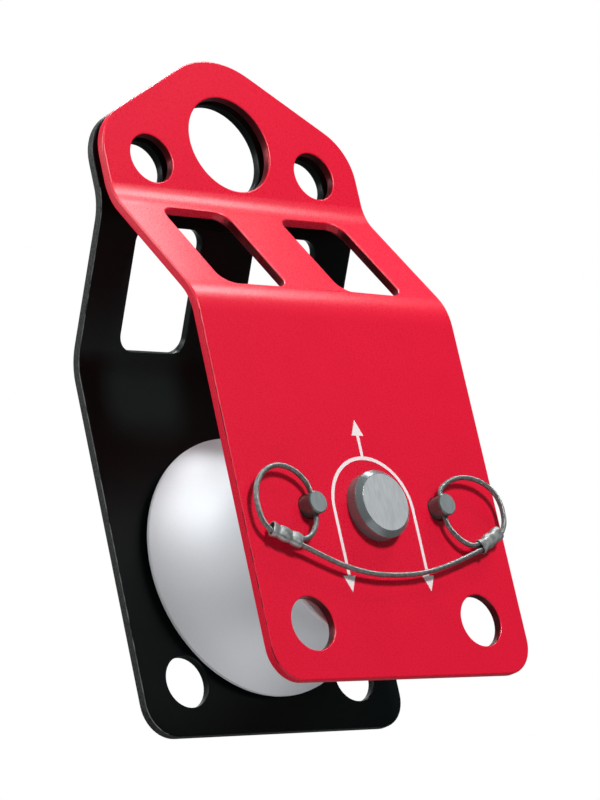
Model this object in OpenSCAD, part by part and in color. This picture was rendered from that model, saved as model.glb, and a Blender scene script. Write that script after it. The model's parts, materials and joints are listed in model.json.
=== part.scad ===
// Knot-passing rope pulley: two joggled side plates, a wide sheave on sealed ball
// bearings, and two lock pins on a wire lanyard. Millimetres, +Z up, +X to the right,
// the front faces -Y. The origin is on the ground, midway between the plates, below the axle.

/* [Side plates] */
// Width of each plate
plate_w = 120; // [104:1:150]
// Thickness of the plate's sheet
plate_t = 3.5; // [2.5:0.5:4.5]
// Height of the axle above the plates' bottom edge
axle_h = 60; // [54:1:80]
// Height of the lower bend above the axle
bend_rise = 76; // [64:1:95]
// Lean of the sloped part, in degrees from upright
slope_angle = 32.5; // [25:0.5:45]
// Bend radius at the middle of the sheet
bend_r = 22; // [6:1:22]
// Gap between the two top flanges
flange_gap = 2.5; // [1:0.5:6]
// Radius of the bottom corners
corner_r = 12; // [4:1:18]

/* [Anchor holes] */
// Diameter of the big anchor hole
anchor_d = 37; // [28:1:46]
// Metal left around the top of the anchor hole
anchor_wall = 14.5; // [9:0.5:18]
// Height of the anchor hole above the upper bend
anchor_rise = 25; // [22:0.5:34]
// Diameter of the two small anchor holes
small_d = 18.5; // [12:0.5:22]
// Metal left beside the small anchor holes
small_wall = 12.1; // [8:0.1:15]
// Height of the small anchor holes above the upper bend
small_rise = 16; // [14:0.5:20]
// Diameter of the two lower holes
lower_d = 18.5; // [12:0.5:22]
// Distance of the lower holes from the plate's side edge
lower_in = 20.7; // [16:0.1:26]
// Height of the lower holes above the plate's bottom edge
lower_up = 19.4; // [16:0.1:26]

/* [Windows] */
// Metal left beside each window, at the plate's edge
side_bar = 17.5; // [10:0.5:26]
// Metal left between the two windows
mid_bar = 25; // [14:1:36]
// Distance of the windows from the two bends, along the slope
window_margin = 6; // [5:0.5:12]
// Corner radius of the windows
window_r = 6; // [3:0.5:8]

/* [Sheave] */
// Outside diameter of the sheave's rims
rim_d = 96; // [90:1:116]
// Diameter at the bottom of the rope groove
tread_d = 76; // [74:1:88]
// Width of the sheave
sheave_w = 60; // [50:1:80]
// Flat left at the top of each rim
lip_w = 2; // [1:0.5:4]
// Gap between the sheave's face and each plate
side_gap = 2; // [1.5:0.5:4]
// Number of holes that the lock pins can enter
index_count = 12; // [4:2:12]
// Metal left between the bearing seat and those holes
index_web = 5; // [3:0.5:6]

/* [Axle and bearings] */
// Diameter of the axle
axle_d = 20; // [16:0.5:24]
// How far the head and the end nut reach past the axle's surface
head_lip = 2.2; // [2:0.1:5]
// Height of the head and of the end nut
head_h = 6.3; // [4:0.1:8]
// Chamfer on the head and on the end nut
head_chamfer = 1.9; // [0.5:0.1:3]
// Diameter of the axle's threaded end
thread_d = 14; // [10:1:15]
// Outside diameter of each ball bearing
bearing_od = 42; // [40:1:51]
// Width of each ball bearing
bearing_w = 12; // [10:1:15]
// Number of balls in each bearing
ball_count = 9; // [6:1:10]
// Thickness of the retaining rings
clip_t = 1.75; // [1:0.25:2.5]
// Thickness of a plate bush's wall
bush_wall = 1.5; // [1:0.25:2]

/* [Lock pins] */
// Diameter of the lock pins
pin_d = 8; // [6:0.5:9]
// How far a locked pin stands out of the front plate
pin_proud = 5.5; // [4.5:0.5:9]
// How deep a locked pin reaches into the sheave
pin_reach = 14; // [8:1:16]
// Diameter of the detent ball
detent_d = 2.5; // [2:0.25:3]
// Diameter of the lanyard's wire rope
cable_d = 1.9; // [1:0.1:2.2]

/* [Hidden] */
$fn = 96;

// Clearances: a press or slide fit, a running fit, a free gap and an axial gap
fit_gap = 0.01;
run_gap = 0.05;
free_gap = 0.3;
end_gap = 0.1;
// How far a cut runs past the face that it opens
past = 1;

// Side plates, measured outward from the mid-plane and upward from the axle
inner_y = sheave_w / 2 + side_gap;
outer_y = inner_y + plate_t;
flange_y = flange_gap / 2 + plate_t;
low_mid_y = inner_y + plate_t / 2;
top_mid_y = flange_gap / 2 + plate_t / 2;
slope_run = low_mid_y - top_mid_y;
slope_rise = slope_run / tan(slope_angle);
slope_len = slope_run / sin(slope_angle);
top_bend = bend_rise + slope_rise;
bend_reach = bend_r * tan(slope_angle / 2);
anchor_z = top_bend + anchor_rise;
small_z = top_bend + small_rise;
anchor_outer_r = anchor_d / 2 + anchor_wall;
shoulder_r = small_d / 2 + small_wall;
small_x = plate_w / 2 - shoulder_r;
plate_top = anchor_z + anchor_outer_r;
lower_x = plate_w / 2 - lower_in;
lower_z = lower_up - axle_h;
window_w = (plate_w - 2 * side_bar - mid_bar) / 2;
window_l = slope_len - 2 * window_margin;
window_x = mid_bar / 2 + window_w / 2;

// Axle, bearings and sheave
axle_r = axle_d / 2;
head_r = axle_r + head_lip;
head_face = outer_y + head_h;
bore_r = axle_r + fit_gap;
seat_r = bearing_od / 2;
pitch_r = (axle_r + seat_r) / 2;
seal_t = 0.8;
seal_inset = 0.3;
cage_t = 2.2;
cage_rim = 1;
ball_share = 0.289;
ball_room = bearing_w / 2 - seal_inset - seal_t - free_gap - cage_rim;
ball_r = min((seat_r - axle_r) * ball_share, ball_room);
race_share = 0.85;
race_gap = ball_r * race_share;
inner_race_r = pitch_r - race_gap;
outer_race_r = pitch_r + race_gap;
clip_inset = 0.25;
clip_z = sheave_w / 2 - clip_inset - clip_t;
bearing_z = clip_z - bearing_w / 2;
shoulder_z = clip_z - bearing_w;
collar_step = 0.2;
collar_r = inner_race_r - collar_step;
bush_flange_t = side_gap / 2;
bush_lip = 2.5;
bush_flange_r = axle_r + bush_wall + bush_lip;
thread_recess = 0.5;
shoulder_lip = 2;
clip_groove = 1.25;
clip_band = 2.2;
clip_ear_r = 2.2;
clip_ear_turn = 14;
clip_mouth = 16;
spanner_r = 1.1;
rim_round = 1;
groove_half = sheave_w / 2 - lip_w;
groove_depth = (rim_d - tread_d) / 2;
groove_r = (groove_half * groove_half + groove_depth * groove_depth) / (2 * groove_depth);

// Lock pins
pin_r = pin_d / 2;
index_r = pin_r + free_gap;
pin_x = seat_r + index_web + index_r;
pin_face = outer_y + pin_proud;
pin_tip = sheave_w / 2 - pin_reach;
eye_z = outer_y + pin_proud / 2;
eye_r = cable_d / 2 + free_gap;
detent_z = inner_y - side_gap / 2;
detent_x = pin_r - detent_d / 2;
detent_share = 0.65;
detent_floor = pin_r * detent_share;

// Ferrules: centre, and turn about the view axis
ferrule_l = 12.5;
ferrule_web = 0.2;
ferrule_wall = 0.7;
ferrule_pitch = cable_d + ferrule_web;
ferrule_r = cable_d / 2 + ferrule_wall;
ferrule_y = 39.2;
left_ferrule_at = [-46.5, 48.7];
left_ferrule_turn = -21;
right_ferrule_at = [48.8, 47.5];
right_ferrule_turn = 26.5;

// Route of each half of the lanyard, from its end in the ferrule, through the pin,
// round the loop, back through the ferrule and along to just short of the middle
left_route = [
    [-51, -39.2, 51.5], [-46, -39.2, 49.6], [-41, -39.2, 47.7], [-37.5, -39, 47.6],
    [-34, -38.7, 49.5], [-31.5, -38.4, 52.5], [-30.3, -38.25, 56], [-30.3, -38.25, 60],
    [-30.3, -38.25, 64], [-31.5, -38.3, 67.5], [-34.5, -38.6, 70.5], [-38.5, -38.9, 72.5],
    [-43, -39.1, 73.2], [-47.5, -39.3, 72.3], [-51.5, -39.4, 70], [-54.5, -39.4, 66.5],
    [-56, -39.4, 62.5], [-56.3, -39.4, 58], [-55.2, -39.3, 53.4], [-52, -39.2, 49.8],
    [-46.8, -39.2, 47.7], [-41.5, -39.2, 45.6], [-36.5, -39, 43.6], [-31, -38.9, 41.3],
    [-25, -38.8, 38.9], [-18.5, -38.7, 37], [-12, -38.7, 35.7], [-6, -38.7, 35],
    [-0.1, -38.7, 34.8]];
right_route = [
    [52.5, -39.2, 50.6], [48.4, -39.2, 48.5], [44, -39.2, 46.3], [40, -39.1, 45.5],
    [36.5, -38.9, 46.6], [33.5, -38.7, 49], [31.2, -38.4, 52.2], [30.3, -38.25, 56],
    [30.3, -38.25, 60], [30.3, -38.25, 64], [32, -38.3, 66.7], [35.2, -38.6, 68.7],
    [39, -38.9, 70], [43, -39.1, 70.5], [47.5, -39.2, 70], [51.5, -39.3, 68.7],
    [55.2, -39.4, 66.2], [57.7, -39.4, 62.5], [58.5, -39.4, 58], [57.7, -39.3, 53.2],
    [54.3, -39.2, 49], [49.2, -39.2, 46.5], [44.5, -39.2, 44.2], [38.5, -39, 42.1],
    [32, -38.9, 40], [25, -38.8, 38], [17.5, -38.7, 36.3], [9, -38.7, 35.1],
    [0.1, -38.7, 34.8]];
cable_rings = 38;
cable_sides = 8;

// Local frame on the axle: +Z runs out of the front plate, +Y runs up
module on_axle() {
    translate([0, 0, axle_h]) rotate([90, 0, 0]) children();
}

module tube(outer_r, inner_r, from, to) {
    translate([0, 0, from]) difference() {
        cylinder(r = outer_r, h = to - from);
        translate([0, 0, -past]) cylinder(r = inner_r, h = to - from + 2 * past);
    }
}

// Turns the front half of the pulley into its rear half
module behind() {
    mirror([0, 0, 1]) children();
}

// Band of sheet around a bend, from angle 0 to the bend's angle
module bend_band() {
    reach = 2 * (bend_r + plate_t);
    intersection() {
        difference() {
            circle(r = bend_r + plate_t / 2);
            circle(r = bend_r - plate_t / 2);
        }
        polygon([[0, 0], [reach, 0], [reach * cos(slope_angle), reach * sin(slope_angle)]]);
    }
}

// Side view of a plate: outward to the right, upward from the axle. The strip is one
// outline that stays inside the two curved bands, which finish its bends.
module joggle_profile() {
    lower = [low_mid_y - bend_r, bend_rise - bend_reach];
    upper = [top_mid_y + bend_r, top_bend + bend_reach];
    lean = [cos(slope_angle), sin(slope_angle)];
    half_lean = [cos(slope_angle / 2), sin(slope_angle / 2)];
    near = bend_r - plate_t / 2;
    far = bend_r + plate_t / 2;
    polygon([
        [outer_y, -axle_h], lower + [far, 0], lower + far * lean,
        upper - near * lean, upper - bend_r * half_lean, upper - [near, 0],
        [flange_y, plate_top], [flange_gap / 2, plate_top],
        upper - [far, 0], upper - far * lean,
        lower + near * lean, lower + bend_r * half_lean, lower + [near, 0],
        [inner_y, -axle_h]]);
    translate(lower) bend_band();
    translate(upper) rotate(180) bend_band();
}

// Points where the straight shoulder edge leaves the big and the small rounding
shoulder_dist = norm([small_x, anchor_z - small_z]);
shoulder_lean = atan2(small_z - anchor_z, small_x) + acos((anchor_outer_r - shoulder_r) / shoulder_dist);
shoulder_dir = [cos(shoulder_lean), sin(shoulder_lean)];

// Front view of a plate
module plate_outline() {
    half_w = plate_w / 2;
    big_touch = [0, anchor_z] + anchor_outer_r * shoulder_dir;
    small_touch = [small_x, small_z] + shoulder_r * shoulder_dir;
    translate([-half_w, corner_r - axle_h])
        square([plate_w, axle_h - corner_r + small_z]);
    translate([corner_r - half_w, -axle_h]) square([plate_w - 2 * corner_r, 2 * corner_r]);
    for (side = [-1, 1]) {
        translate([side * (half_w - corner_r), corner_r - axle_h]) circle(r = corner_r);
        translate([side * small_x, small_z]) circle(r = shoulder_r);
    }
    translate([0, anchor_z]) circle(r = anchor_outer_r);
    polygon([
        [small_x, small_z - shoulder_r], [small_x, small_z], small_touch, big_touch,
        [0, anchor_z], [-big_touch[0], big_touch[1]], [-small_touch[0], small_touch[1]],
        [-small_x, small_z], [-small_x, small_z - shoulder_r]]);
}

module rounded_window() {
    straight_w = window_w - 2 * window_r;
    straight_l = window_l - 2 * window_r;
    square([straight_w, window_l], center = true);
    square([window_w, straight_l], center = true);
    for (side = [-1, 1], end = [-1, 1])
        translate([side * straight_w / 2, end * straight_l / 2]) circle(r = window_r);
}

// A plate in the axle's frame, on the front side
module side_plate_body(with_pin_holes) {
    cut = plate_t + 2 * past;
    difference() {
        intersection() {
            rotate([0, -90, 0]) linear_extrude(plate_w, center = true) joggle_profile();
            linear_extrude(outer_y + past) plate_outline();
        }
        for (side = [-1, 1]) {
            translate([side * small_x, small_z, 0]) cylinder(r = small_d / 2, h = flange_y + past);
            translate([side * lower_x, lower_z, inner_y - past]) cylinder(r = lower_d / 2, h = cut);
            translate([side * window_x, (bend_rise + top_bend) / 2, (low_mid_y + top_mid_y) / 2])
                rotate([-slope_angle, 0, 0])
                    linear_extrude(2 * cut, center = true) rounded_window();
            if (with_pin_holes) translate([side * pin_x, 0, inner_y - past])
                cylinder(r = pin_r + run_gap, h = cut);
        }
        translate([0, anchor_z, 0]) cylinder(r = anchor_d / 2, h = flange_y + past);
        translate([0, 0, inner_y - past]) cylinder(r = axle_r + bush_wall + fit_gap, h = cut);
    }
}

module plate_bush() {
    difference() {
        union() {
            translate([0, 0, inner_y]) cylinder(r = axle_r + bush_wall, h = plate_t);
            translate([0, 0, inner_y - bush_flange_t]) cylinder(r = bush_flange_r, h = bush_flange_t);
        }
        cylinder(r = axle_r + run_gap, h = outer_y + past);
    }
}

// Round head with a chamfered face, standing on the plate's outer face
module round_head() {
    seat = outer_y + end_gap;
    translate([0, 0, seat]) cylinder(r = head_r, h = head_face - head_chamfer - seat);
    translate([0, 0, head_face - head_chamfer])
        cylinder(r1 = head_r, r2 = head_r - head_chamfer, h = head_chamfer);
}

module thrust_collar_body() {
    tube(collar_r, bore_r, clip_z, inner_y - bush_flange_t - end_gap);
}

// Half section of the sheave: radius to the right, along the axle upward
module sheave_profile() {
    rim_r = rim_d / 2;
    difference() {
        translate([seat_r - shoulder_lip, -sheave_w / 2])
            square([rim_r - seat_r + shoulder_lip, sheave_w]);
        translate([tread_d / 2 + groove_r, 0]) circle(r = groove_r);
        for (side = [-1, 1]) scale([1, side]) {
            translate([0, shoulder_z]) square([seat_r, sheave_w]);
            translate([0, clip_z]) square([seat_r + clip_groove, clip_t + run_gap]);
            translate([rim_r - rim_round, sheave_w / 2 - rim_round]) difference() {
                square(2 * rim_round);
                circle(r = rim_round);
            }
        }
    }
}

// Internal retaining ring with two eyes, open at the bottom
module retaining_ring_body() {
    outer = seat_r + clip_groove - run_gap;
    eye_at = seat_r - clip_ear_r - free_gap;
    translate([0, 0, clip_z]) linear_extrude(clip_t) difference() {
        union() {
            difference() {
                circle(r = outer);
                circle(r = seat_r - clip_band);
            }
            for (turn = [-1, 1] * clip_ear_turn - [90, 90])
                rotate(turn) translate([eye_at, 0]) circle(r = clip_ear_r);
        }
        rotate(-90 - clip_mouth / 2) polygon([
            [0, 0], [2 * outer, 0], [2 * outer * cos(clip_mouth), 2 * outer * sin(clip_mouth)]]);
        for (turn = [-1, 1] * clip_ear_turn - [90, 90])
            rotate(turn) translate([eye_at, 0]) circle(r = clip_ear_r / 2);
    }
}

module raceway() {
    rotate_extrude() translate([pitch_r, bearing_z]) circle(r = ball_r + run_gap);
}

module outer_race_body() {
    difference() {
        tube(seat_r - fit_gap, outer_race_r, shoulder_z, clip_z);
        raceway();
    }
}

module inner_race_body() {
    difference() {
        tube(inner_race_r, bore_r, shoulder_z, clip_z);
        raceway();
    }
}

module ball_set() {
    for (i = [0 : ball_count - 1]) rotate(i * 360 / ball_count)
        translate([pitch_r, 0, bearing_z]) sphere(r = ball_r);
}

module cage_body() {
    half = ball_r + cage_rim;
    difference() {
        tube(pitch_r + cage_t / 2, pitch_r - cage_t / 2, bearing_z - half, bearing_z + half);
        for (i = [0 : ball_count - 1]) rotate(i * 360 / ball_count)
            translate([pitch_r - cage_t, 0, bearing_z]) rotate([0, 90, 0])
                cylinder(r = ball_r + free_gap / 2, h = 2 * cage_t);
    }
}

module seal_body(from) {
    tube(outer_race_r - fit_gap, inner_race_r + free_gap, from, from + seal_t);
}

module outer_seal_body() {
    seal_body(clip_z - seal_inset - seal_t);
}

module inner_seal_body() {
    seal_body(shoulder_z + seal_inset);
}

// Lock pin at +X: chamfered bar with an eye for the lanyard and a bore for the detent
module lock_pin_body() {
    tip_chamfer = 1;
    face_chamfer = 0.4;
    translate([pin_x, 0, 0]) difference() {
        union() {
            translate([0, 0, pin_tip])
                cylinder(r1 = pin_r - tip_chamfer, r2 = pin_r, h = tip_chamfer);
            translate([0, 0, pin_tip + tip_chamfer])
                cylinder(r = pin_r, h = pin_face - face_chamfer - pin_tip - tip_chamfer);
            translate([0, 0, pin_face - face_chamfer])
                cylinder(r1 = pin_r, r2 = pin_r - face_chamfer, h = face_chamfer);
        }
        translate([0, 0, eye_z]) rotate([90, 0, 0]) cylinder(r = eye_r, h = 2 * pin_d, center = true);
        translate([-detent_floor, 0, detent_z]) rotate([0, 90, 0])
            cylinder(r = detent_d / 2 + run_gap, h = pin_d);
    }
}

module detent_ball_body() {
    translate([pin_x + detent_x, 0, detent_z]) sphere(r = detent_d / 2 - fit_gap);
}

// Closed tube swept along a list of points, none of whose steps runs along side_dir
module swept_tube(path, r, sides, side_dir) {
    last = len(path) - 1;
    points = [for (i = [0 : last])
        let (along = path[min(i + 1, last)] - path[max(i - 1, 0)],
            across = cross(along, side_dir) / norm(cross(along, side_dir)),
            outward = cross(across, along) / norm(along))
        for (k = [0 : sides - 1])
            path[i] + r * (cos(k * 360 / sides) * across + sin(k * 360 / sides) * outward)];
    walls = [for (i = [0 : last - 1], k = [0 : sides - 1])
        let (next = (k + 1) % sides)
            [i * sides + k, (i + 1) * sides + k, (i + 1) * sides + next, i * sides + next]];
    start_cap = [for (k = [0 : sides - 1]) k];
    end_cap = [for (k = [sides - 1 : -1 : 0]) last * sides + k];
    polyhedron(points, concat([start_cap], walls, [end_cap]));
}

// Smooth curve through the points of a route, t running from 0 to the last point's number
function route_point(p, t) =
    let (last = len(p) - 1, i = min(floor(t), last - 1), u = t - i,
        a = p[max(i - 1, 0)], b = p[i], c = p[i + 1], d = p[min(i + 2, last)])
    (2 * b + (c - a) * u + (2 * a - 5 * b + 4 * c - d) * u * u
        + (3 * b - a - 3 * c + d) * u * u * u) / 2;

module lanyard_half(route) {
    path = [for (i = [0 : cable_rings]) route_point(route, i * (len(route) - 1) / cable_rings)];
    swept_tube(path, cable_d / 2, cable_sides, [0, 1, 0]);
}

// Compression spring behind the detent ball
module detent_spring_body() {
    turns = 5;
    steps = 12;
    wire_r = 0.2;
    coil_r = detent_d / 2 - wire_r - run_gap;
    from = wire_r - detent_floor;
    length = detent_x - detent_d / 2 - wire_r - from;
    count = turns * steps;
    coil = [for (i = [0 : count])
        [coil_r * cos(i * 360 / steps), coil_r * sin(i * 360 / steps), from + length * i / count]];
    translate([pin_x, 0, detent_z]) rotate([0, 90, 0]) swept_tube(coil, wire_r, 6, [0, 0, 1]);
}

// Crimped sleeve with two barrels, one for each strand
module ferrule_body(at, turn) {
    crimps = 4;
    crimp_l = 2.2;
    crimp_depth = 0.3;
    neck_r = ferrule_r - crimp_depth;
    step = (ferrule_l - crimp_l) / (crimps - 1);
    translate([at[0], -ferrule_y, at[1]]) rotate([0, -turn, 0]) difference() {
        for (side = [-1, 1]) translate([-ferrule_l / 2, 0, side * ferrule_pitch / 2]) {
            rotate([0, 90, 0]) cylinder(r = neck_r, h = ferrule_l);
            for (i = [0 : crimps - 1]) translate([i * step, 0, 0]) rotate([0, 90, 0])
                cylinder(r = ferrule_r, h = crimp_l);
        }
        for (side = [-1, 1]) translate([-ferrule_l, 0, side * ferrule_pitch / 2])
            rotate([0, 90, 0]) cylinder(r = cable_d / 2 + run_gap, h = 2 * ferrule_l);
    }
}

module on_left() {
    mirror([1, 0, 0]) children();
}

module rear_side_plate() { color([0.06, 0.08, 0.07]) on_axle() behind() side_plate_body(false); }
module front_side_plate() { color([0.84, 0.09, 0.2]) on_axle() side_plate_body(true); }
module rear_plate_bush() { color([0.72, 0.55, 0.3]) on_axle() behind() plate_bush(); }
module front_plate_bush() { color([0.72, 0.55, 0.3]) on_axle() plate_bush(); }

module axle() {
    color([0.68, 0.7, 0.72]) on_axle() {
        translate([0, 0, -outer_y - end_gap]) cylinder(r = axle_r, h = 2 * (outer_y + end_gap));
        translate([0, 0, thread_recess - head_face]) cylinder(r = thread_d / 2, h = head_h);
        round_head();
    }
}

module axle_end_nut() {
    spanner_at = (thread_d / 2 + head_r - head_chamfer) / 2;
    color([0.62, 0.64, 0.66]) on_axle() behind() difference() {
        round_head();
        cylinder(r = thread_d / 2 + fit_gap, h = 2 * head_face);
        for (side = [-1, 1]) translate([side * spanner_at, 0, head_face - head_chamfer])
            cylinder(r = spanner_r, h = 2 * head_chamfer);
    }
}

module rear_thrust_collar() { color([0.6, 0.6, 0.62]) on_axle() behind() thrust_collar_body(); }
module front_thrust_collar() { color([0.6, 0.6, 0.62]) on_axle() thrust_collar_body(); }
module bearing_spacer() {
    color([0.7, 0.71, 0.73]) on_axle() tube(collar_r, bore_r, -shoulder_z, shoulder_z);
}

module sheave() {
    color([0.78, 0.79, 0.8]) on_axle() difference() {
        rotate_extrude() sheave_profile();
        for (i = [0 : index_count - 1]) rotate(i * 360 / index_count)
            translate([pin_x, 0, pin_tip - past]) cylinder(r = index_r, h = sheave_w);
    }
}

module rear_retaining_ring() { color([0.3, 0.3, 0.32]) on_axle() behind() retaining_ring_body(); }
module front_retaining_ring() { color([0.3, 0.3, 0.32]) on_axle() retaining_ring_body(); }
module front_bearing_outer_race() { color([0.75, 0.76, 0.78]) on_axle() outer_race_body(); }
module front_bearing_inner_race() { color([0.75, 0.76, 0.78]) on_axle() inner_race_body(); }
module front_bearing_balls() { color([0.85, 0.86, 0.88]) on_axle() ball_set(); }
module front_bearing_cage() { color([0.7, 0.6, 0.35]) on_axle() cage_body(); }
module front_bearing_outer_seal() { color([0.1, 0.1, 0.11]) on_axle() outer_seal_body(); }
module front_bearing_inner_seal() { color([0.1, 0.1, 0.11]) on_axle() inner_seal_body(); }
module rear_bearing_outer_race() { color([0.75, 0.76, 0.78]) on_axle() behind() outer_race_body(); }
module rear_bearing_inner_race() { color([0.75, 0.76, 0.78]) on_axle() behind() inner_race_body(); }
module rear_bearing_balls() { color([0.85, 0.86, 0.88]) on_axle() behind() ball_set(); }
module rear_bearing_cage() { color([0.7, 0.6, 0.35]) on_axle() behind() cage_body(); }
module rear_bearing_outer_seal() { color([0.1, 0.1, 0.11]) on_axle() behind() outer_seal_body(); }
module rear_bearing_inner_seal() { color([0.1, 0.1, 0.11]) on_axle() behind() inner_seal_body(); }
module left_lock_pin() { color([0.6, 0.62, 0.64]) on_axle() on_left() lock_pin_body(); }
module right_lock_pin() { color([0.6, 0.62, 0.64]) on_axle() lock_pin_body(); }
module left_detent_ball() { color([0.85, 0.86, 0.88]) on_axle() on_left() detent_ball_body(); }
module right_detent_ball() { color([0.85, 0.86, 0.88]) on_axle() detent_ball_body(); }
module left_detent_spring() { color([0.5, 0.51, 0.53]) on_axle() on_left() detent_spring_body(); }
module right_detent_spring() { color([0.5, 0.51, 0.53]) on_axle() detent_spring_body(); }
module left_ferrule() { color([0.66, 0.68, 0.7]) ferrule_body(left_ferrule_at, left_ferrule_turn); }
module right_ferrule() { color([0.66, 0.68, 0.7]) ferrule_body(right_ferrule_at, right_ferrule_turn); }
module left_lanyard() { color([0.35, 0.37, 0.38]) lanyard_half(left_route); }
module right_lanyard() { color([0.35, 0.37, 0.38]) lanyard_half(right_route); }

rear_side_plate();
front_side_plate();
rear_plate_bush();
front_plate_bush();
axle();
axle_end_nut();
rear_thrust_collar();
front_thrust_collar();
bearing_spacer();
sheave();
rear_retaining_ring();
front_retaining_ring();
front_bearing_outer_race();
front_bearing_inner_race();
front_bearing_balls();
front_bearing_cage();
front_bearing_outer_seal();
front_bearing_inner_seal();
rear_bearing_outer_race();
rear_bearing_inner_race();
rear_bearing_balls();
rear_bearing_cage();
rear_bearing_outer_seal();
rear_bearing_inner_seal();
left_lock_pin();
right_lock_pin();
left_detent_ball();
right_detent_ball();
left_detent_spring();
right_detent_spring();
left_ferrule();
right_ferrule();
left_lanyard();
right_lanyard();
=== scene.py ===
"""A rope pulley: two joggled side plates, a wide turned sheave on ball bearings, and two
lock pins on a wire lanyard. Metres, +Z up, the front plate faces -Y."""

import json
import math

import bmesh
import bpy
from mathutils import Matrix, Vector

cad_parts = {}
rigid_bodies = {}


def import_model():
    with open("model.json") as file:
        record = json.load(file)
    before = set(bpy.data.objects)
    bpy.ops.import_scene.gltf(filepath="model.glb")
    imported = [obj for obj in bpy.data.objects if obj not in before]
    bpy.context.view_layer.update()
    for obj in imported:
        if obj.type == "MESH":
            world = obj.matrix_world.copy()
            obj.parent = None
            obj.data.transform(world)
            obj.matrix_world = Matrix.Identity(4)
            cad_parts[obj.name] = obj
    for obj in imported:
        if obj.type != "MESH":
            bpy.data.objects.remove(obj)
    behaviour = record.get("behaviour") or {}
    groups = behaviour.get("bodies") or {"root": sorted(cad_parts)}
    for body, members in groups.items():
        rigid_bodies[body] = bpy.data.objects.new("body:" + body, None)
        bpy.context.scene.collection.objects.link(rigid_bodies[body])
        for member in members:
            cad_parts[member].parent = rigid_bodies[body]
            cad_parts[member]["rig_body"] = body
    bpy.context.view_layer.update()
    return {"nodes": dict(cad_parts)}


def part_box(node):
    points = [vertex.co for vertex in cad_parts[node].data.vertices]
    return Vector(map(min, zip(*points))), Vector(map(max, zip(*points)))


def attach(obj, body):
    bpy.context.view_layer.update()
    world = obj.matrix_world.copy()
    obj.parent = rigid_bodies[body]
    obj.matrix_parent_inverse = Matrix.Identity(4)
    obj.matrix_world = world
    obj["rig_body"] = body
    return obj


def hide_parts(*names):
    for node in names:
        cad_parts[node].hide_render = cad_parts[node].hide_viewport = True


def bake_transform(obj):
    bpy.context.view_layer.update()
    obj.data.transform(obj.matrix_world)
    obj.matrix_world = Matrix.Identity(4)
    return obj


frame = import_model()

# ---------------------------------------------------------------------------
# Camera. It stands low and to the left of the pulley and looks up at it with a
# long lens, tilted a little to the right.
bpy.ops.object.camera_add(
    location=(-0.72933, -0.76102, -0.19666),
    rotation=[math.radians(a) for a in (106.621, 11.993, -40.674)],
)
camera = bpy.context.object
camera.name = "camera"
camera.data.lens = 139.6
camera.data.sensor_width = 36
bpy.context.scene.camera = camera

# ---------------------------------------------------------------------------
# Lanyard. One twisted wire rope joins the two lock pins. Each end runs through
# its pin's eye, round a loop and back through a crimped ferrule. It is made as
# two halves, which meet at the middle of the span.
MM = 0.001
ROPE_D = 1.9 * MM
STRANDS = 8
STRAND_R = ROPE_D / 2 / (1 + 1 / math.sin(math.pi / STRANDS))
LAY = 6.5 * MM
CURVE_STEPS = 10
PATH_EVERY = 5
LEFT_ROUTE = [
    (-51, -39.2, 51.5), (-46, -39.2, 49.6), (-41, -39.2, 47.7), (-37.5, -39, 47.6),
    (-34, -38.7, 49.5), (-31.5, -38.4, 52.5), (-30.3, -38.25, 56), (-30.3, -38.25, 60),
    (-30.3, -38.25, 64), (-31.5, -38.3, 67.5), (-34.5, -38.6, 70.5), (-38.5, -38.9, 72.5),
    (-43, -39.1, 73.2), (-47.5, -39.3, 72.3), (-51.5, -39.4, 70), (-54.5, -39.4, 66.5),
    (-56, -39.4, 62.5), (-56.3, -39.4, 58), (-55.2, -39.3, 53.4), (-52, -39.2, 49.8),
    (-46.8, -39.2, 47.7), (-41.5, -39.2, 45.6), (-36.5, -39, 43.6), (-31, -38.9, 41.3),
    (-25, -38.8, 38.9), (-18.5, -38.7, 37), (-12, -38.7, 35.7), (-6, -38.7, 35),
    (-0.1, -38.7, 34.8)]
RIGHT_ROUTE = [
    (52.5, -39.2, 50.6), (48.4, -39.2, 48.5), (44, -39.2, 46.3), (40, -39.1, 45.5),
    (36.5, -38.9, 46.6), (33.5, -38.7, 49), (31.2, -38.4, 52.2), (30.3, -38.25, 56),
    (30.3, -38.25, 60), (30.3, -38.25, 64), (32, -38.3, 66.7), (35.2, -38.6, 68.7),
    (39, -38.9, 70), (43, -39.1, 70.5), (47.5, -39.2, 70), (51.5, -39.3, 68.7),
    (55.2, -39.4, 66.2), (57.7, -39.4, 62.5), (58.5, -39.4, 58), (57.7, -39.3, 53.2),
    (54.3, -39.2, 49), (49.2, -39.2, 46.5), (44.5, -39.2, 44.2), (38.5, -39, 42.1),
    (32, -38.9, 40), (25, -38.8, 38), (17.5, -38.7, 36.3), (9, -38.7, 35.1),
    (0.1, -38.7, 34.8)]


def new_material(name, color, metallic, roughness):
    """A material with its even values set on the shader; returns it with its tree."""
    finish = bpy.data.materials.new(name)
    finish.use_nodes = True
    shader = finish.node_tree.nodes["Principled BSDF"]
    shader.inputs["Base Color"].default_value = (*color, 1)
    shader.inputs["Metallic"].default_value = metallic
    shader.inputs["Roughness"].default_value = roughness
    return finish, finish.node_tree, shader


def mottle(tree, scale, stretch=(1, 1, 1), detail=3):
    """Noise over the piece, from 0 to 1, drawn out along the axes that stretch shortens."""
    place = tree.nodes.new("ShaderNodeTexCoord")
    stretched = tree.nodes.new("ShaderNodeMapping")
    stretched.inputs["Scale"].default_value = stretch
    noise = tree.nodes.new("ShaderNodeTexNoise")
    noise.inputs["Scale"].default_value = scale
    noise.inputs["Detail"].default_value = detail
    tree.links.new(place.outputs["Object"], stretched.inputs["Vector"])
    tree.links.new(stretched.outputs["Vector"], noise.inputs["Vector"])
    return noise.outputs["Fac"]


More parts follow.
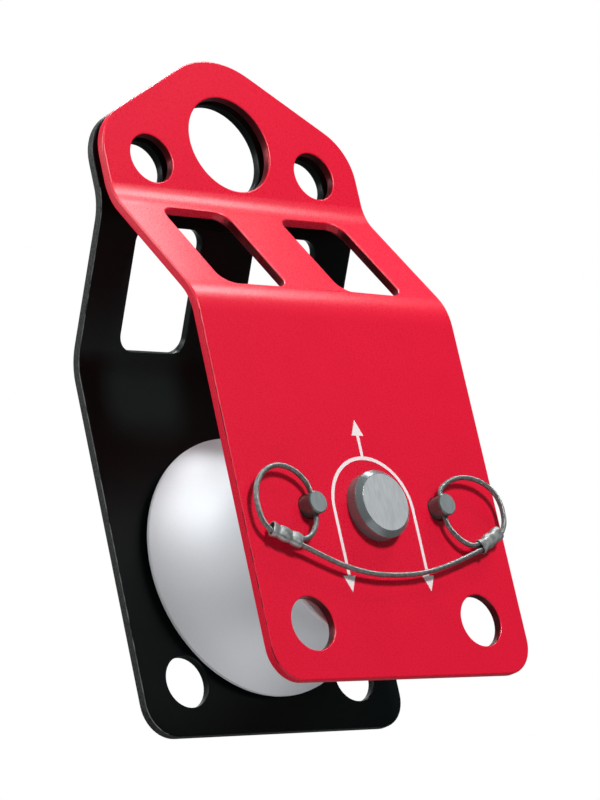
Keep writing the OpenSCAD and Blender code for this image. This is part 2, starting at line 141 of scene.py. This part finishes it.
def between(tree, value, low, high, socket, from_low=0.3, from_high=0.7):
    """Spreads a value over a range and gives it to a number socket."""
    spread = tree.nodes.new("ShaderNodeMapRange")
    spread.inputs["From Min"].default_value = from_low
    spread.inputs["From Max"].default_value = from_high
    spread.inputs["To Min"].default_value = low
    spread.inputs["To Max"].default_value = high
    tree.links.new(value, spread.inputs["Value"])
    tree.links.new(spread.outputs["Result"], socket)


def shade(tree, value, dark, light, socket, dark_at=0.35, light_at=0.65):
    """Runs a value through two colours and gives the result to a colour socket."""
    ramp = tree.nodes.new("ShaderNodeValToRGB")
    ramp.color_ramp.elements[0].position = dark_at
    ramp.color_ramp.elements[1].position = light_at
    ramp.color_ramp.elements[0].color = (*dark, 1)
    ramp.color_ramp.elements[1].color = (*light, 1)
    tree.links.new(value, ramp.inputs["Fac"])
    tree.links.new(ramp.outputs["Color"], socket)


def emboss(tree, shader, value, depth):
    """Lets a value raise the surface by up to depth."""
    bump = tree.nodes.new("ShaderNodeBump")
    bump.inputs["Distance"].default_value = depth
    bump.inputs["Strength"].default_value = 1
    tree.links.new(value, bump.inputs["Height"])
    tree.links.new(bump.outputs["Normal"], shader.inputs["Normal"])


def wire_finish():
    """Stainless wire, grey and dull, with faint rubs."""
    finish, tree, shader = new_material("stainless_wire", (0.26, 0.28, 0.275), 0.9, 0.45)
    fine = mottle(tree, 900, detail=3)
    shade(tree, fine, (0.19, 0.21, 0.205), (0.33, 0.35, 0.345), shader.inputs["Base Color"])
    between(tree, fine, 0.5, 0.4, shader.inputs["Roughness"])
    emboss(tree, shader, fine, 0.01 * MM)
    return finish


def along_route(route, steps):
    """Points on the smooth curve through a route's points, steps to each stretch."""
    last = len(route) - 1
    found = []
    for i in range(last):
        before = Vector(route[max(i - 1, 0)]) * MM
        start = Vector(route[i]) * MM
        end = Vector(route[i + 1]) * MM
        after = Vector(route[min(i + 2, last)]) * MM
        square = 2 * before - 5 * start + 4 * end - after
        cube = 3 * start - before - 3 * end + after
        for step in range(steps):
            part = step / steps
            found.append((2 * start + (end - before) * part + square * part * part
                          + cube * part ** 3) / 2)
    found.append(Vector(route[last]) * MM)
    return found


def strand(points, radius):
    """One round strand along its points, as a curve object."""
    bpy.ops.curve.primitive_nurbs_path_add(location=(0, 0, 0))
    laid = bpy.context.object
    laid.data.splines.clear()
    spline = laid.data.splines.new("POLY")
    spline.points.add(len(points) - 1)
    for point, spot in zip(spline.points, points):
        point.co = (*spot, 1)
    laid.data.bevel_depth = radius
    laid.data.bevel_resolution = 1
    laid.data.use_fill_caps = True
    spline.use_smooth = True
    return laid


def lay_rope(name, route):
    """A wire rope: a straight heart with the outer strands laid round it."""
    centre = along_route(route, CURVE_STEPS)
    travelled = [0.0]
    for spot, following in zip(centre, centre[1:]):
        travelled.append(travelled[-1] + (following - spot).length)
    side = Vector((0, 1, 0))
    frames = []
    for i in range(len(centre)):
        along = (centre[min(i + 1, len(centre) - 1)] - centre[max(i - 1, 0)]).normalized()
        side = (side - along * side.dot(along)).normalized()
        frames.append((side.copy(), along.cross(side)))
    orbit = ROPE_D / 2 - STRAND_R
    heart_r = orbit - STRAND_R / 2
    parts = [strand(centre, heart_r)]
    for number in range(STRANDS):
        twisted = []
        for spot, gone, (over, across) in zip(centre, travelled, frames):
            angle = 2 * math.pi * (gone / LAY + number / STRANDS)
            twisted.append(spot + orbit * (math.cos(angle) * over + math.sin(angle) * across))
        parts.append(strand(twisted, STRAND_R))
    bpy.ops.object.select_all(action="DESELECT")
    for part in parts:
        part.select_set(True)
    bpy.context.view_layer.objects.active = parts[0]
    bpy.ops.object.convert(target="MESH")
    bpy.ops.object.join()
    rope = bpy.context.object
    rope.name = name
    bpy.ops.object.transform_apply(location=True, rotation=True, scale=True)
    bpy.ops.object.shade_smooth()
    rope.data.materials.clear()
    rope.data.materials.append(wire)
    return rope, centre[::PATH_EVERY], travelled[-1]


wire = wire_finish()
ropes = {}
for side_name, sign, route in (("left", -1, LEFT_ROUTE), ("right", 1, RIGHT_ROUTE)):
    rope, centre, length = lay_rope(f"{side_name}_lanyard_rope", route)
    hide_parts(f"{side_name}_lanyard")
    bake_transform(rope)
    ropes[side_name] = (rope, centre, length)

# ---------------------------------------------------------------------------
# Ferrules. Soft aluminium sleeves of an oval section, which hold the rope's end
# beside the rope. Each is crimped in two places, and bulges between the crimps.
FERRULE_L = 12.4 * MM
FERRULE_WALL = 0.5 * MM
BARREL_PITCH = 2.1 * MM
LIP_ROUND = 0.12 * MM
FERRULE_TURNS = {"left": -21, "right": 26.5}
CRIMPS = 2
CRIMP_SIZE = 0.8
TAPER = 0.35
FULLNESS = 0.7
RINGS = 30


def crimped_aluminium():
    """Aluminium, scuffed by the crimping tool."""
    finish, tree, shader = new_material("crimped_aluminium", (0.36, 0.39, 0.385), 0.7, 0.45)
    scuffs = mottle(tree, 700, detail=3)
    shade(tree, scuffs, (0.26, 0.285, 0.28), (0.44, 0.47, 0.465), shader.inputs["Base Color"])
    between(tree, scuffs, 0.38, 0.52, shader.inputs["Roughness"])
    emboss(tree, shader, scuffs, 0.03 * MM)
    return finish


def ferrule(name, cad_name, turn, finish):
    """An oval ring drawn out along X, pinched at each crimp, then given its wall.

    It starts at its full size and ends on a slight taper."""
    low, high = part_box(cad_name)
    bulge_r = (high.y - low.y) / 2
    bpy.ops.object.select_all(action="DESELECT")
    bpy.ops.mesh.primitive_circle_add(vertices=40, radius=bulge_r, fill_type="NOTHING",
                                      location=(0, 0, 0), rotation=(0, math.pi / 2, 0))
    sleeve = bpy.context.object
    sleeve.name = name
    bpy.ops.object.transform_apply(location=True, rotation=True, scale=True)
    bpy.ops.object.mode_set(mode="EDIT")
    ring = bmesh.from_edit_mesh(sleeve.data)
    for vertex in ring.verts:
        vertex.co.z += math.copysign(BARREL_PITCH / 2, vertex.co.z)
        vertex.co.x = -FERRULE_L / 2
    bmesh.update_edit_mesh(sleeve.data)
    bpy.ops.mesh.select_all(action="SELECT")
    last = 1.0
    for i in range(1, RINGS + 1):
        swell = abs(math.cos(math.pi * (CRIMPS + TAPER) * i / RINGS)) ** FULLNESS
        size = CRIMP_SIZE + (1 - CRIMP_SIZE) * swell
        step = size / last
        bpy.ops.mesh.extrude_region_move(
            TRANSFORM_OT_translate={"value": (FERRULE_L / RINGS, 0, 0)})
        bpy.ops.transform.resize(value=(1, step, step), center_override=(0, 0, 0))
        last = size
    bpy.ops.mesh.select_all(action="SELECT")
    bpy.ops.mesh.normals_make_consistent(inside=False)
    bpy.ops.object.mode_set(mode="OBJECT")
    wall = sleeve.modifiers.new("wall", "SOLIDIFY")
    wall.thickness = FERRULE_WALL
    wall.offset = -1
    bpy.ops.object.modifier_apply(modifier="wall")
    lips = sleeve.modifiers.new("lips", "BEVEL")
    lips.width = LIP_ROUND
    lips.segments = 2
    lips.limit_method = "ANGLE"
    lips.angle_limit = math.radians(60)
    bpy.ops.object.modifier_apply(modifier="lips")
    bpy.ops.object.shade_smooth()
    sleeve.location = (low + high) / 2
    sleeve.rotation_euler = (0, math.radians(-turn), 0)
    bpy.ops.object.transform_apply(location=True, rotation=True, scale=True)
    sleeve.data.materials.append(finish)
    return sleeve


soft_aluminium = crimped_aluminium()
for side_name, turn in FERRULE_TURNS.items():
    sleeve = ferrule(f"{side_name}_crimped_ferrule", f"{side_name}_ferrule", turn, soft_aluminium)
    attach(sleeve, f"{side_name}_pin")
    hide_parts(f"{side_name}_ferrule")
    rope, centre, length = ropes[side_name]

# ---------------------------------------------------------------------------
# Side plates. Each is cut from 3.5 mm aluminium sheet, joggled inwards in a press,
# deburred all round and anodised: the front one red, the rear one black.
EDGE_ROUND = 0.6 * MM
BEND_TOP = 190.68 * MM
BEND_NEAR = 0.03 * MM
BEND_SHIFT = 1 * MM
ANCHOR_Z = 209.27 * MM
ANCHOR_REACH = 19.6 * MM
SMALL_HOLE = (38.65 * MM, 200.27 * MM)
LOWER_HOLE = (39.3 * MM, 19.4 * MM)
HOLE_REACH = 10.3 * MM
WINDOW_REACH = 43.5 * MM
WINDOW_LOW = 140 * MM
WINDOW_HIGH = 181 * MM
WALL_TILT = 0.3
CORNER_OUT = 0.3
CORNER_FRONT = 0.35
axle_low, axle_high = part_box("axle")
AXLE = (axle_low + axle_high) / 2
# Painted light: below these heights the left corner's bevel is coloured, dark on the front plate
# as a painted reflection and grey on the rear plate as a painted highlight.
FRONT_PAINTED_REFLECTION_TO = AXLE.z + 70 * MM
REAR_PAINTED_HIGHLIGHT_TO = 190 * MM
MERGE = 0.002 * MM
CLOUD_SHARE = 0.4


def select_verts(piece, test):
    """Selects, in edit mode, only the points that pass a test."""
    bpy.ops.mesh.select_all(action="DESELECT")
    bpy.ops.mesh.select_mode(type="VERT")
    shape = bmesh.from_edit_mesh(piece.data)
    for vertex in shape.verts:
        vertex.select_set(test(vertex.co))
    shape.select_flush(True)
    bmesh.update_edit_mesh(piece.data)


def dress(name, finish, edge=0.15 * MM, rounds=2, sharp=35, bent=False):
    """A merged copy of a CAD part with its sharp edges broken; it stands for the part.

    On a bent plate the upper bend starts a little lower, to leave room for the rounding
    of the anchor holes' edges."""
    source = frame["nodes"][name]
    piece = bpy.data.objects.new(f"{name}_finished", source.data.copy())
    bpy.context.scene.collection.objects.link(piece)
    bpy.ops.object.select_all(action="DESELECT")
    piece.select_set(True)
    bpy.context.view_layer.objects.active = piece
    bpy.ops.object.mode_set(mode="EDIT")
    bpy.ops.mesh.select_all(action="SELECT")
    bpy.ops.mesh.remove_doubles(threshold=MERGE)
    bpy.ops.mesh.customdata_custom_splitnormals_clear()
    bpy.ops.mesh.select_all(action="SELECT")
    bpy.ops.mesh.dissolve_limited(angle_limit=math.radians(0.3))
    if bent:
        select_verts(piece, lambda co: abs(co.z - BEND_TOP) < BEND_NEAR)
        bpy.ops.transform.translate(value=(0, 0, -BEND_SHIFT))
    bpy.ops.object.mode_set(mode="OBJECT")
    if edge:
        rounding = piece.modifiers.new("edges", "BEVEL")
        rounding.width = edge
        rounding.segments = rounds
        rounding.limit_method = "ANGLE"
        rounding.angle_limit = math.radians(sharp)
        rounding.use_clamp_overlap = not bent
        rounding.loop_slide = False
        bpy.ops.object.modifier_apply(modifier="edges")
    bpy.ops.object.shade_smooth_by_angle(angle=math.radians(sharp))
    if edge:
        flats = piece.modifiers.new("flats", "WEIGHTED_NORMAL")
        flats.keep_sharp = True
        flats.weight = 50
        bpy.ops.object.modifier_apply(modifier="flats")
    piece.data.materials.clear()
    piece.data.materials.append(finish)
    body = source["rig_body"]
    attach(piece, body)
    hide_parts(name)
    return piece


def red_finish():
    """Red anodising: a dyed, faintly grainy and cloudy skin over the aluminium."""
    finish, tree, shader = new_material("red_anodised", (0.69, 0.008, 0.032), 0.0, 0.27)
    grain = mottle(tree, 2600, detail=2)
    cloud = mottle(tree, 55, detail=3)
    blend = tree.nodes.new("ShaderNodeMath")
    blend.operation = "MULTIPLY_ADD"
    blend.inputs[1].default_value = CLOUD_SHARE
    tree.links.new(cloud, blend.inputs[0])
    scaled = tree.nodes.new("ShaderNodeMath")
    scaled.operation = "MULTIPLY"
    scaled.inputs[1].default_value = 1 - CLOUD_SHARE
    tree.links.new(grain, scaled.inputs[0])
    tree.links.new(scaled.outputs[0], blend.inputs[2])
    shade(tree, blend.outputs[0], (0.71, 0.005, 0.032), (0.745, 0.006, 0.035),
          shader.inputs["Base Color"], 0.38, 0.62)
    between(tree, grain, 0.26, 0.3, shader.inputs["Roughness"])
    emboss(tree, shader, grain, 0.001 * MM)
    shader.inputs["Specular IOR Level"].default_value = 0.42
    return finish


# Painted shade: the front plate's hole walls are coloured far darker than the face, for the shade
# that falls inside the holes.
def red_wall_painted_shade_finish():
    """The walls of the front plate's holes: painted shade, dark red in random patches."""
    finish, tree, shader = new_material("red_wall_painted_shade", (0.2, 0.004, 0.01), 0.5, 0.3)
    painted_shade_patches = mottle(tree, 120, detail=2)
    shade(tree, painted_shade_patches, (0.07, 0.002, 0.005), (0.24, 0.004, 0.012), shader.inputs["Base Color"],
          0.35, 0.7)
    between(tree, painted_shade_patches, 0.4, 0.26, shader.inputs["Roughness"])
    emboss(tree, shader, painted_shade_patches, 0.02 * MM)
    return finish


def left_edge_painted_reflection_finish():
    """The front plate's outer corner on the left, red broken by a painted dark reflection."""
    finish, tree, shader = new_material("red_corner_painted_reflection", (0.2, 0.004, 0.01), 0.3, 0.35)
    painted_light_noise = mottle(tree, 170, detail=4)
    shade(tree, painted_light_noise, (0.62, 0.005, 0.03), (0.035, 0.002, 0.005), shader.inputs["Base Color"],
          0.47, 0.53)
    between(tree, painted_light_noise, 0.3, 0.45, shader.inputs["Roughness"])
    emboss(tree, shader, painted_light_noise, 0.02 * MM)
    return finish


def black_finish():
    """Black anodising, satin, with a very fine grain."""
    finish, tree, shader = new_material("black_anodised", (0.005, 0.009, 0.0085), 0.0, 0.4)
    grain = mottle(tree, 2400, detail=2)
    shade(tree, grain, (0.002, 0.0052, 0.005), (0.0035, 0.0078, 0.0074),
          shader.inputs["Base Color"])
    between(tree, grain, 0.3, 0.4, shader.inputs["Roughness"])
    emboss(tree, shader, grain, 0.006 * MM)
    shader.inputs["Specular IOR Level"].default_value = 0.16
    return finish


def cut_edge_finish():
    """The rear plate's outer edge: black anodising over a rough cut, dark with grey specks."""
    finish, tree, shader = new_material("black_cut_edge", (0.04, 0.048, 0.046), 0.2, 0.5)
    rough = mottle(tree, 1100, detail=4)
    shade(tree, rough, (0.004, 0.006, 0.0057), (0.036, 0.043, 0.041),
          shader.inputs["Base Color"], 0.38, 0.66)
    between(tree, rough, 0.62, 0.4, shader.inputs["Roughness"])
    emboss(tree, shader, rough, 0.08 * MM)
    return finish


def rear_corner_painted_highlight_finish():
    """The rear plate's outer corner: a painted grey highlight, broken up in places."""
    finish, tree, shader = new_material("black_corner_painted_highlight", (0.14, 0.15, 0.15), 0.3, 0.4)
    painted_light_noise = mottle(tree, 240, detail=4)
    shade(tree, painted_light_noise, (0.03, 0.036, 0.034), (0.3, 0.32, 0.315), shader.inputs["Base Color"],
          0.36, 0.6)
    between(tree, painted_light_noise, 0.5, 0.34, shader.inputs["Roughness"])
    emboss(tree, shader, painted_light_noise, 0.02 * MM)
    return finish


red = red_finish()
black = black_finish()
cut_edge = cut_edge_finish()
front_plate = dress("front_side_plate", red, edge=EDGE_ROUND, rounds=3,
                    bent=True)
rear_plate = dress("rear_side_plate", black, edge=EDGE_ROUND, rounds=3,
                   bent=True)


def on_hole(spot):
    """Whether a point of a plate is on the wall or the rim of a hole or a window."""
    x = abs(spot.x)
    return (math.hypot(x - LOWER_HOLE[0], spot.z - LOWER_HOLE[1]) < HOLE_REACH
            or math.hypot(x - SMALL_HOLE[0], spot.z - SMALL_HOLE[1]) < HOLE_REACH
            or math.hypot(x, spot.z - ANCHOR_Z) < ANCHOR_REACH
            or x < WINDOW_REACH and WINDOW_LOW < spot.z < WINDOW_HIGH)


def finish_edges(plate, wall, rim, corner, painted_line_to):
    """Gives the hole walls, the outer rim and the left corner their own finishes. The corner
    carries a painted dark reflection on the front plate and a painted highlight on the rear
    plate.
    """
    for finish in (wall, rim, corner):
        plate.data.materials.append(finish)
    for face in plate.data.polygons:
        spot, normal = face.center, face.normal
        upright = abs(normal.y) < WALL_TILT
        if on_hole(spot):
            if upright:
                face.material_index = 1
        elif upright:
            face.material_index = 2
        # The left corner's front-facing bevel gets the corner finish, which is painted light on
        # both plates.
        elif normal.x < -CORNER_OUT and normal.y < -CORNER_FRONT and spot.z < painted_line_to:
            face.material_index = 3


# The front plate's hole walls carry painted shade and its left corner bevel a painted dark
# reflection.
finish_edges(front_plate, red_wall_painted_shade_finish(), red, left_edge_painted_reflection_finish(), FRONT_PAINTED_REFLECTION_TO)
# The rear plate's left corner bevel is coloured grey as a painted highlight.
finish_edges(rear_plate, black, cut_edge, rear_corner_painted_highlight_finish(), REAR_PAINTED_HIGHLIGHT_TO)

# ---------------------------------------------------------------------------
# Printed rope path. White ink on the front plate: the rope's way up and over the
# sheave, an arrowhead on each fall and an arrow towards the anchor hole.
def white_ink():
    """Screen-printed ink, a little thin, so that the red shows through it."""
    finish, tree, shader = new_material("white_ink", (0.86, 0.78, 0.79), 0.0, 0.4)
    cover = mottle(tree, 1800, detail=2)
    shade(tree, cover, (0.84, 0.68, 0.70), (0.93, 0.86, 0.87), shader.inputs["Base Color"])
    emboss(tree, shader, cover, 0.01 * MM)
    return finish


INK = 0.03 * MM
LINE = 1.3 * MM
ARCH_R = 17.8 * MM
FALL = 24.2 * MM
STEM = 8 * MM
HEAD_W = 3.2 * MM
HEAD_H = 3.8 * MM
HEAD_GAP = 1.5 * MM
TUCK = 0.3 * MM
NEARLY = 0.01 * MM
face_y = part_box("front_plate_bush")[0].y
ink_z = AXLE.z - 0.5 * MM
bpy.ops.object.select_all(action="DESELECT")
bpy.ops.mesh.primitive_circle_add(vertices=96, radius=ARCH_R, fill_type="NOTHING",
                                  location=(AXLE.x, face_y, ink_z), rotation=(math.pi / 2, 0, 0))
arch = bpy.context.object
arch.name = "printed_rope_path"
bpy.ops.object.transform_apply(location=True, rotation=True, scale=True)
bpy.ops.object.mode_set(mode="EDIT")
sheet = bmesh.from_edit_mesh(arch.data)
for vertex in sheet.verts:
    vertex.select_set(vertex.co.z < ink_z - NEARLY)
sheet.select_flush(True)
bpy.ops.mesh.delete(type="VERT")
bpy.ops.mesh.select_all(action="SELECT")
bpy.ops.mesh.extrude_region_move()
scale_out = 1 + LINE / ARCH_R
bpy.ops.transform.resize(value=(scale_out, 1, scale_out), center_override=(AXLE.x, face_y, ink_z))
select_verts(arch, lambda co: co.z < ink_z + NEARLY)
bpy.ops.mesh.extrude_region_move(TRANSFORM_OT_translate={"value": (0, 0, -FALL)})
bpy.ops.object.mode_set(mode="OBJECT")
marks = [arch]


def arrowhead(x, z, points_up):
    """A flat triangle, point up or down."""
    bpy.ops.mesh.primitive_circle_add(vertices=3, radius=1, fill_type="NGON", location=(0, 0, 0),
                                      rotation=(math.pi / 2, 0, 0))
    head = bpy.context.object
    bpy.ops.object.transform_apply(location=True, rotation=True, scale=True)
    bpy.ops.object.mode_set(mode="EDIT")
    bpy.ops.mesh.select_all(action="SELECT")
    bpy.ops.transform.resize(value=(HEAD_W, 1, HEAD_H if points_up else -HEAD_H),
                             center_override=(0, 0, 0))
    bpy.ops.transform.translate(value=(x, face_y, z))
    bpy.ops.object.mode_set(mode="OBJECT")
    marks.append(head)


for side in (-1, 1):
    arrowhead(AXLE.x + side * (ARCH_R + LINE / 2), ink_z - FALL - HEAD_GAP, False)
bpy.ops.mesh.primitive_plane_add(size=1, location=(0, 0, 0), rotation=(math.pi / 2, 0, 0))
stem = bpy.context.object
bpy.ops.object.transform_apply(location=True, rotation=True, scale=True)
bpy.ops.object.mode_set(mode="EDIT")
bpy.ops.mesh.select_all(action="SELECT")
bpy.ops.transform.resize(value=(LINE, 1, STEM), center_override=(0, 0, 0))
bpy.ops.transform.translate(value=(AXLE.x, face_y, ink_z + ARCH_R + LINE + STEM / 2 - TUCK))
bpy.ops.object.mode_set(mode="OBJECT")
marks.append(stem)
arrowhead(AXLE.x, ink_z + ARCH_R + LINE + STEM + HEAD_GAP, True)
bpy.ops.object.select_all(action="DESELECT")
for mark in marks:
    mark.select_set(True)
bpy.context.view_layer.objects.active = arch
bpy.ops.object.join()
bpy.ops.object.mode_set(mode="EDIT")
bpy.ops.mesh.select_all(action="SELECT")
bpy.ops.mesh.normals_make_consistent(inside=False)
bpy.ops.object.mode_set(mode="OBJECT")
thick = arch.modifiers.new("ink", "SOLIDIFY")
thick.thickness = INK
thick.offset = 0
bpy.ops.object.modifier_apply(modifier="ink")
bpy.ops.object.mode_set(mode="EDIT")
bpy.ops.mesh.select_all(action="SELECT")
bpy.ops.transform.translate(value=(0, -INK / 2, 0))
bpy.ops.mesh.normals_make_consistent(inside=False)
bpy.ops.object.mode_set(mode="OBJECT")
arch.data.materials.clear()
arch.data.materials.append(white_ink())
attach(arch, "front_plate")

# ---------------------------------------------------------------------------
# Sheave. Turned from aluminium bar with one wide hollow groove, satin anodised in
# its natural colour, and drilled in front for the lock pins.
def satin_aluminium():
    """Clear anodised aluminium with a fine blasted skin."""
    finish, tree, shader = new_material("satin_aluminium", (0.8, 0.84, 0.875), 0.3, 0.6)
    fine = mottle(tree, 2200, stretch=(1, 3, 1), detail=3)
    shade(tree, fine, (0.785, 0.825, 0.86), (0.835, 0.875, 0.91), shader.inputs["Base Color"])
    between(tree, fine, 0.56, 0.64, shader.inputs["Roughness"])
    emboss(tree, shader, fine, 0.004 * MM)
    return finish


aluminium = satin_aluminium()
dress("sheave", aluminium, edge=0.6 * MM, rounds=4)

# ---------------------------------------------------------------------------
# Axle, end nut and collars, turned from stainless steel, and an aluminium spacer.
# The head's and the nut's faces are rubbed dull, and their edges are chamfered.
def turned_steel(name, color, stretch, metallic=1.0):
    """Turned steel with a fine grain, which stretch can draw out into tool lines."""
    finish, tree, shader = new_material(name, color, metallic, 0.25)
    lines = mottle(tree, 2600, stretch=stretch, detail=3)
    shade(tree, lines, tuple(0.93 * c for c in color), tuple(1.06 * c for c in color),
          shader.inputs["Base Color"])
    between(tree, lines, 0.2, 0.28, shader.inputs["Roughness"])
    return finish


def faced_steel(name, color):
    """The end face of a bar, faced off and then rubbed dull on a belt."""
    finish, tree, shader = new_material(name, color, 0.35, 0.45)
    rubbed = mottle(tree, 2400, stretch=(1, 1, 0.1), detail=3)
    shade(tree, rubbed, tuple(0.9 * c for c in color), tuple(1.06 * c for c in color),
          shader.inputs["Base Color"])
    between(tree, rubbed, 0.4, 0.52, shader.inputs["Roughness"])
    emboss(tree, shader, rubbed, 0.003 * MM)
    return finish


FLAT_END = 0.99
TURNED_EDGE = 0.12 * MM
TURNED_SHARP = 25


def face_ends(piece, finish):
    """Gives a turned piece's flat ends their own finish."""
    piece.data.materials.append(finish)
    for face in piece.data.polygons:
        if abs(face.normal.y) > FLAT_END:
            face.material_index = 1


head_steel = turned_steel("turned_head_steel", (0.2, 0.235, 0.24), (1, 1, 1), 0.4)
plain_steel = turned_steel("turned_steel", (0.5, 0.51, 0.52), (1, 2.5, 1))
dull_steel = faced_steel("faced_head_steel", (0.5, 0.53, 0.55))
for name in ("axle", "axle_end_nut"):
    bar = dress(name, head_steel, edge=TURNED_EDGE, sharp=TURNED_SHARP)
    face_ends(bar, dull_steel)
dress("rear_thrust_collar", plain_steel)
dress("front_thrust_collar", plain_steel)
dress("bearing_spacer", aluminium)

# ---------------------------------------------------------------------------
# Plate bushes. Thin flanged bronze bushes, turned and pressed into the plates'
# middle holes, where the axle passes through.
def bronze():
    """Oiled bearing bronze."""
    finish, tree, shader = new_material("bearing_bronze", (0.55, 0.36, 0.16), 1.0, 0.38)
    lines = mottle(tree, 700, stretch=(1, 3, 1), detail=4)
    shade(tree, lines, (0.42, 0.26, 0.11), (0.62, 0.42, 0.2), shader.inputs["Base Color"])
    between(tree, lines, 0.32, 0.5, shader.inputs["Roughness"])
    emboss(tree, shader, lines, 0.01 * MM)
    return finish


bush_bronze = bronze()
for end in ("front", "rear"):
    dress(f"{end}_plate_bush", bush_bronze, edge=0.1 * MM)

# ---------------------------------------------------------------------------
# Ball bearings. Ground races and balls, a pressed brass cage, two rubber seals and
# a spring-steel retaining ring at each end of the sheave.
def ground_steel():
    """Ground and polished bearing steel."""
    finish, tree, shader = new_material("ground_bearing_steel", (0.72, 0.73, 0.75), 1.0, 0.14)
    lines = mottle(tree, 1200, stretch=(1, 4, 1), detail=3)
    shade(tree, lines, (0.64, 0.65, 0.67), (0.78, 0.79, 0.81), shader.inputs["Base Color"])
    between(tree, lines, 0.1, 0.2, shader.inputs["Roughness"])
    emboss(tree, shader, lines, 0.004 * MM)
    return finish


def seal_rubber():
    """Moulded nitrile rubber."""
    finish, tree, shader = new_material("nitrile_rubber", (0.02, 0.02, 0.021), 0.0, 0.55)
    skin = mottle(tree, 1600, detail=3)
    shade(tree, skin, (0.014, 0.014, 0.015), (0.03, 0.03, 0.031), shader.inputs["Base Color"])
    between(tree, skin, 0.48, 0.68, shader.inputs["Roughness"])
    emboss(tree, shader, skin, 0.02 * MM)
    return finish


def cage_brass():
    """Pressed brass sheet."""
    finish, tree, shader = new_material("pressed_brass", (0.62, 0.45, 0.18), 1.0, 0.3)
    fine = mottle(tree, 900, detail=3)
    shade(tree, fine, (0.52, 0.36, 0.13), (0.7, 0.52, 0.22), shader.inputs["Base Color"])
    between(tree, fine, 0.24, 0.4, shader.inputs["Roughness"])
    emboss(tree, shader, fine, 0.01 * MM)
    return finish


def spring_steel():
    """Spring steel, blued and oiled."""
    finish, tree, shader = new_material("oiled_spring_steel", (0.1, 0.1, 0.105), 0.9, 0.38)
    fine = mottle(tree, 1100, detail=3)
    shade(tree, fine, (0.07, 0.07, 0.075), (0.15, 0.15, 0.155), shader.inputs["Base Color"])
    between(tree, fine, 0.3, 0.5, shader.inputs["Roughness"])
    emboss(tree, shader, fine, 0.01 * MM)
    return finish


race_steel = ground_steel()
rubber = seal_rubber()
brass = cage_brass()
ring_steel = spring_steel()
for end in ("front", "rear"):
    for race in ("outer_race", "inner_race"):
        dress(f"{end}_bearing_{race}", race_steel, edge=0.2 * MM)
    dress(f"{end}_bearing_balls", race_steel, edge=0)
    dress(f"{end}_bearing_cage", brass, edge=0.08 * MM)
    for seal in ("outer_seal", "inner_seal"):
        dress(f"{end}_bearing_{seal}", rubber, edge=0.1 * MM)
    dress(f"{end}_retaining_ring", ring_steel, edge=0.1 * MM)

# ---------------------------------------------------------------------------
# Lock pins. Turned stainless bars with a chamfered face, an eye for the lanyard and
# a detent ball on a spring. They slide through the front plate into the sheave.
pin_face = faced_steel("faced_pin_steel", (0.25, 0.285, 0.29))
pin_steel = turned_steel("turned_pin_steel", (0.13, 0.148, 0.148), (1, 1, 1), 0.5)
for side_name in ("left", "right"):
    pin = dress(f"{side_name}_lock_pin", pin_steel, edge=TURNED_EDGE,
                sharp=TURNED_SHARP)
    face_ends(pin, pin_face)
    dress(f"{side_name}_detent_ball", race_steel, edge=0)
    dress(f"{side_name}_detent_spring", ring_steel, edge=0, sharp=70)

# ---------------------------------------------------------------------------
# Studio: a pale floor well below the hanging pulley and white surroundings. A key
# light stands in front, broad lights on the left, weak fills behind and below, and
# small lamps close above, which make the glow on the bends and the bright rims.
def pale_floor():
    """Pale matt paper that glows a little, so that it stays pale away from the lights."""
    finish, tree, shader = new_material("pale_floor", (0.8, 0.8, 0.8), 0.0, 0.7)
    fine = mottle(tree, 30, detail=3)
    shade(tree, fine, (0.78, 0.78, 0.78), (0.82, 0.82, 0.82), shader.inputs["Base Color"])
    shader.inputs["Emission Color"].default_value = (1, 1, 1, 1)
    shader.inputs["Emission Strength"].default_value = 0.62
    return finish


bpy.ops.object.select_all(action="DESELECT")
bpy.ops.mesh.primitive_plane_add(size=12, location=(0, 0, -0.55))
floor = bpy.context.object
floor.name = "floor"
floor.data.materials.append(pale_floor())
# The floor is there to be seen: it neither lights the pulley nor shows in it.
floor.visible_diffuse = False
floor.visible_glossy = False

# The surroundings are white to the camera and only dimly light the pulley.
world = bpy.data.worlds.new("studio")
bpy.context.scene.world = world
world.use_nodes = True
sky = world.node_tree
background = sky.nodes["Background"]
background.inputs["Color"].default_value = (1, 1, 1, 1)
background.inputs["Strength"].default_value = 0.1
seen = sky.nodes.new("ShaderNodeBackground")
seen.inputs["Color"].default_value = (1, 1, 1, 1)
seen.inputs["Strength"].default_value = 1.0
ray = sky.nodes.new("ShaderNodeLightPath")
either = sky.nodes.new("ShaderNodeMixShader")
sky.links.new(ray.outputs["Is Camera Ray"], either.inputs["Fac"])
sky.links.new(background.outputs["Background"], either.inputs[1])
sky.links.new(seen.outputs["Background"], either.inputs[2])
sky.links.new(either.outputs["Shader"], sky.nodes["World Output"].inputs["Surface"])


def soft_light(name, place, aim, size, watts):
    """An area light at a place, turned towards a point."""
    bpy.ops.object.light_add(type="AREA", location=place)
    light = bpy.context.object
    light.name = name
    light.rotation_euler = (Vector(aim) - Vector(place)).to_track_quat("-Z", "Y").to_euler()
    light.data.shape = "RECTANGLE"
    light.data.size = light.data.size_y = size
    light.data.energy = watts
    light.visible_camera = False


middle = (0, 0, 0.12)
soft_light("key", (0.07, -1.17, 0.68), middle, 0.22, 14.4)
soft_light("left_back", (-0.9, 0.52, 0.9), middle, 0.6, 7)
soft_light("left_high", (-0.78, 0, 1.16), middle, 0.6, 7.6)
soft_light("left_low", (-1.23, 0.26, -0.2), middle, 0.6, 1)
soft_light("under_fill", (-0.15, -0.1, -0.5), middle, 0.8, 2)
soft_light("back_fill", (0.4, 1.2, 0.6), middle, 1, 4)
soft_light("slope_glow", (0.26, -0.09, 0.66), (0.26, -0.09, 0), 0.14, 0.75)
soft_light("bend_glow", (0.4, -0.32, 0.66), (0.4, -0.32, 0), 0.16, 1.3)
soft_light("rim_top", (0.08, 0.07, 0.66), (0.08, 0.07, 0), 0.14, 2.2)

view = bpy.context.scene.view_settings
view.view_transform = "Standard"
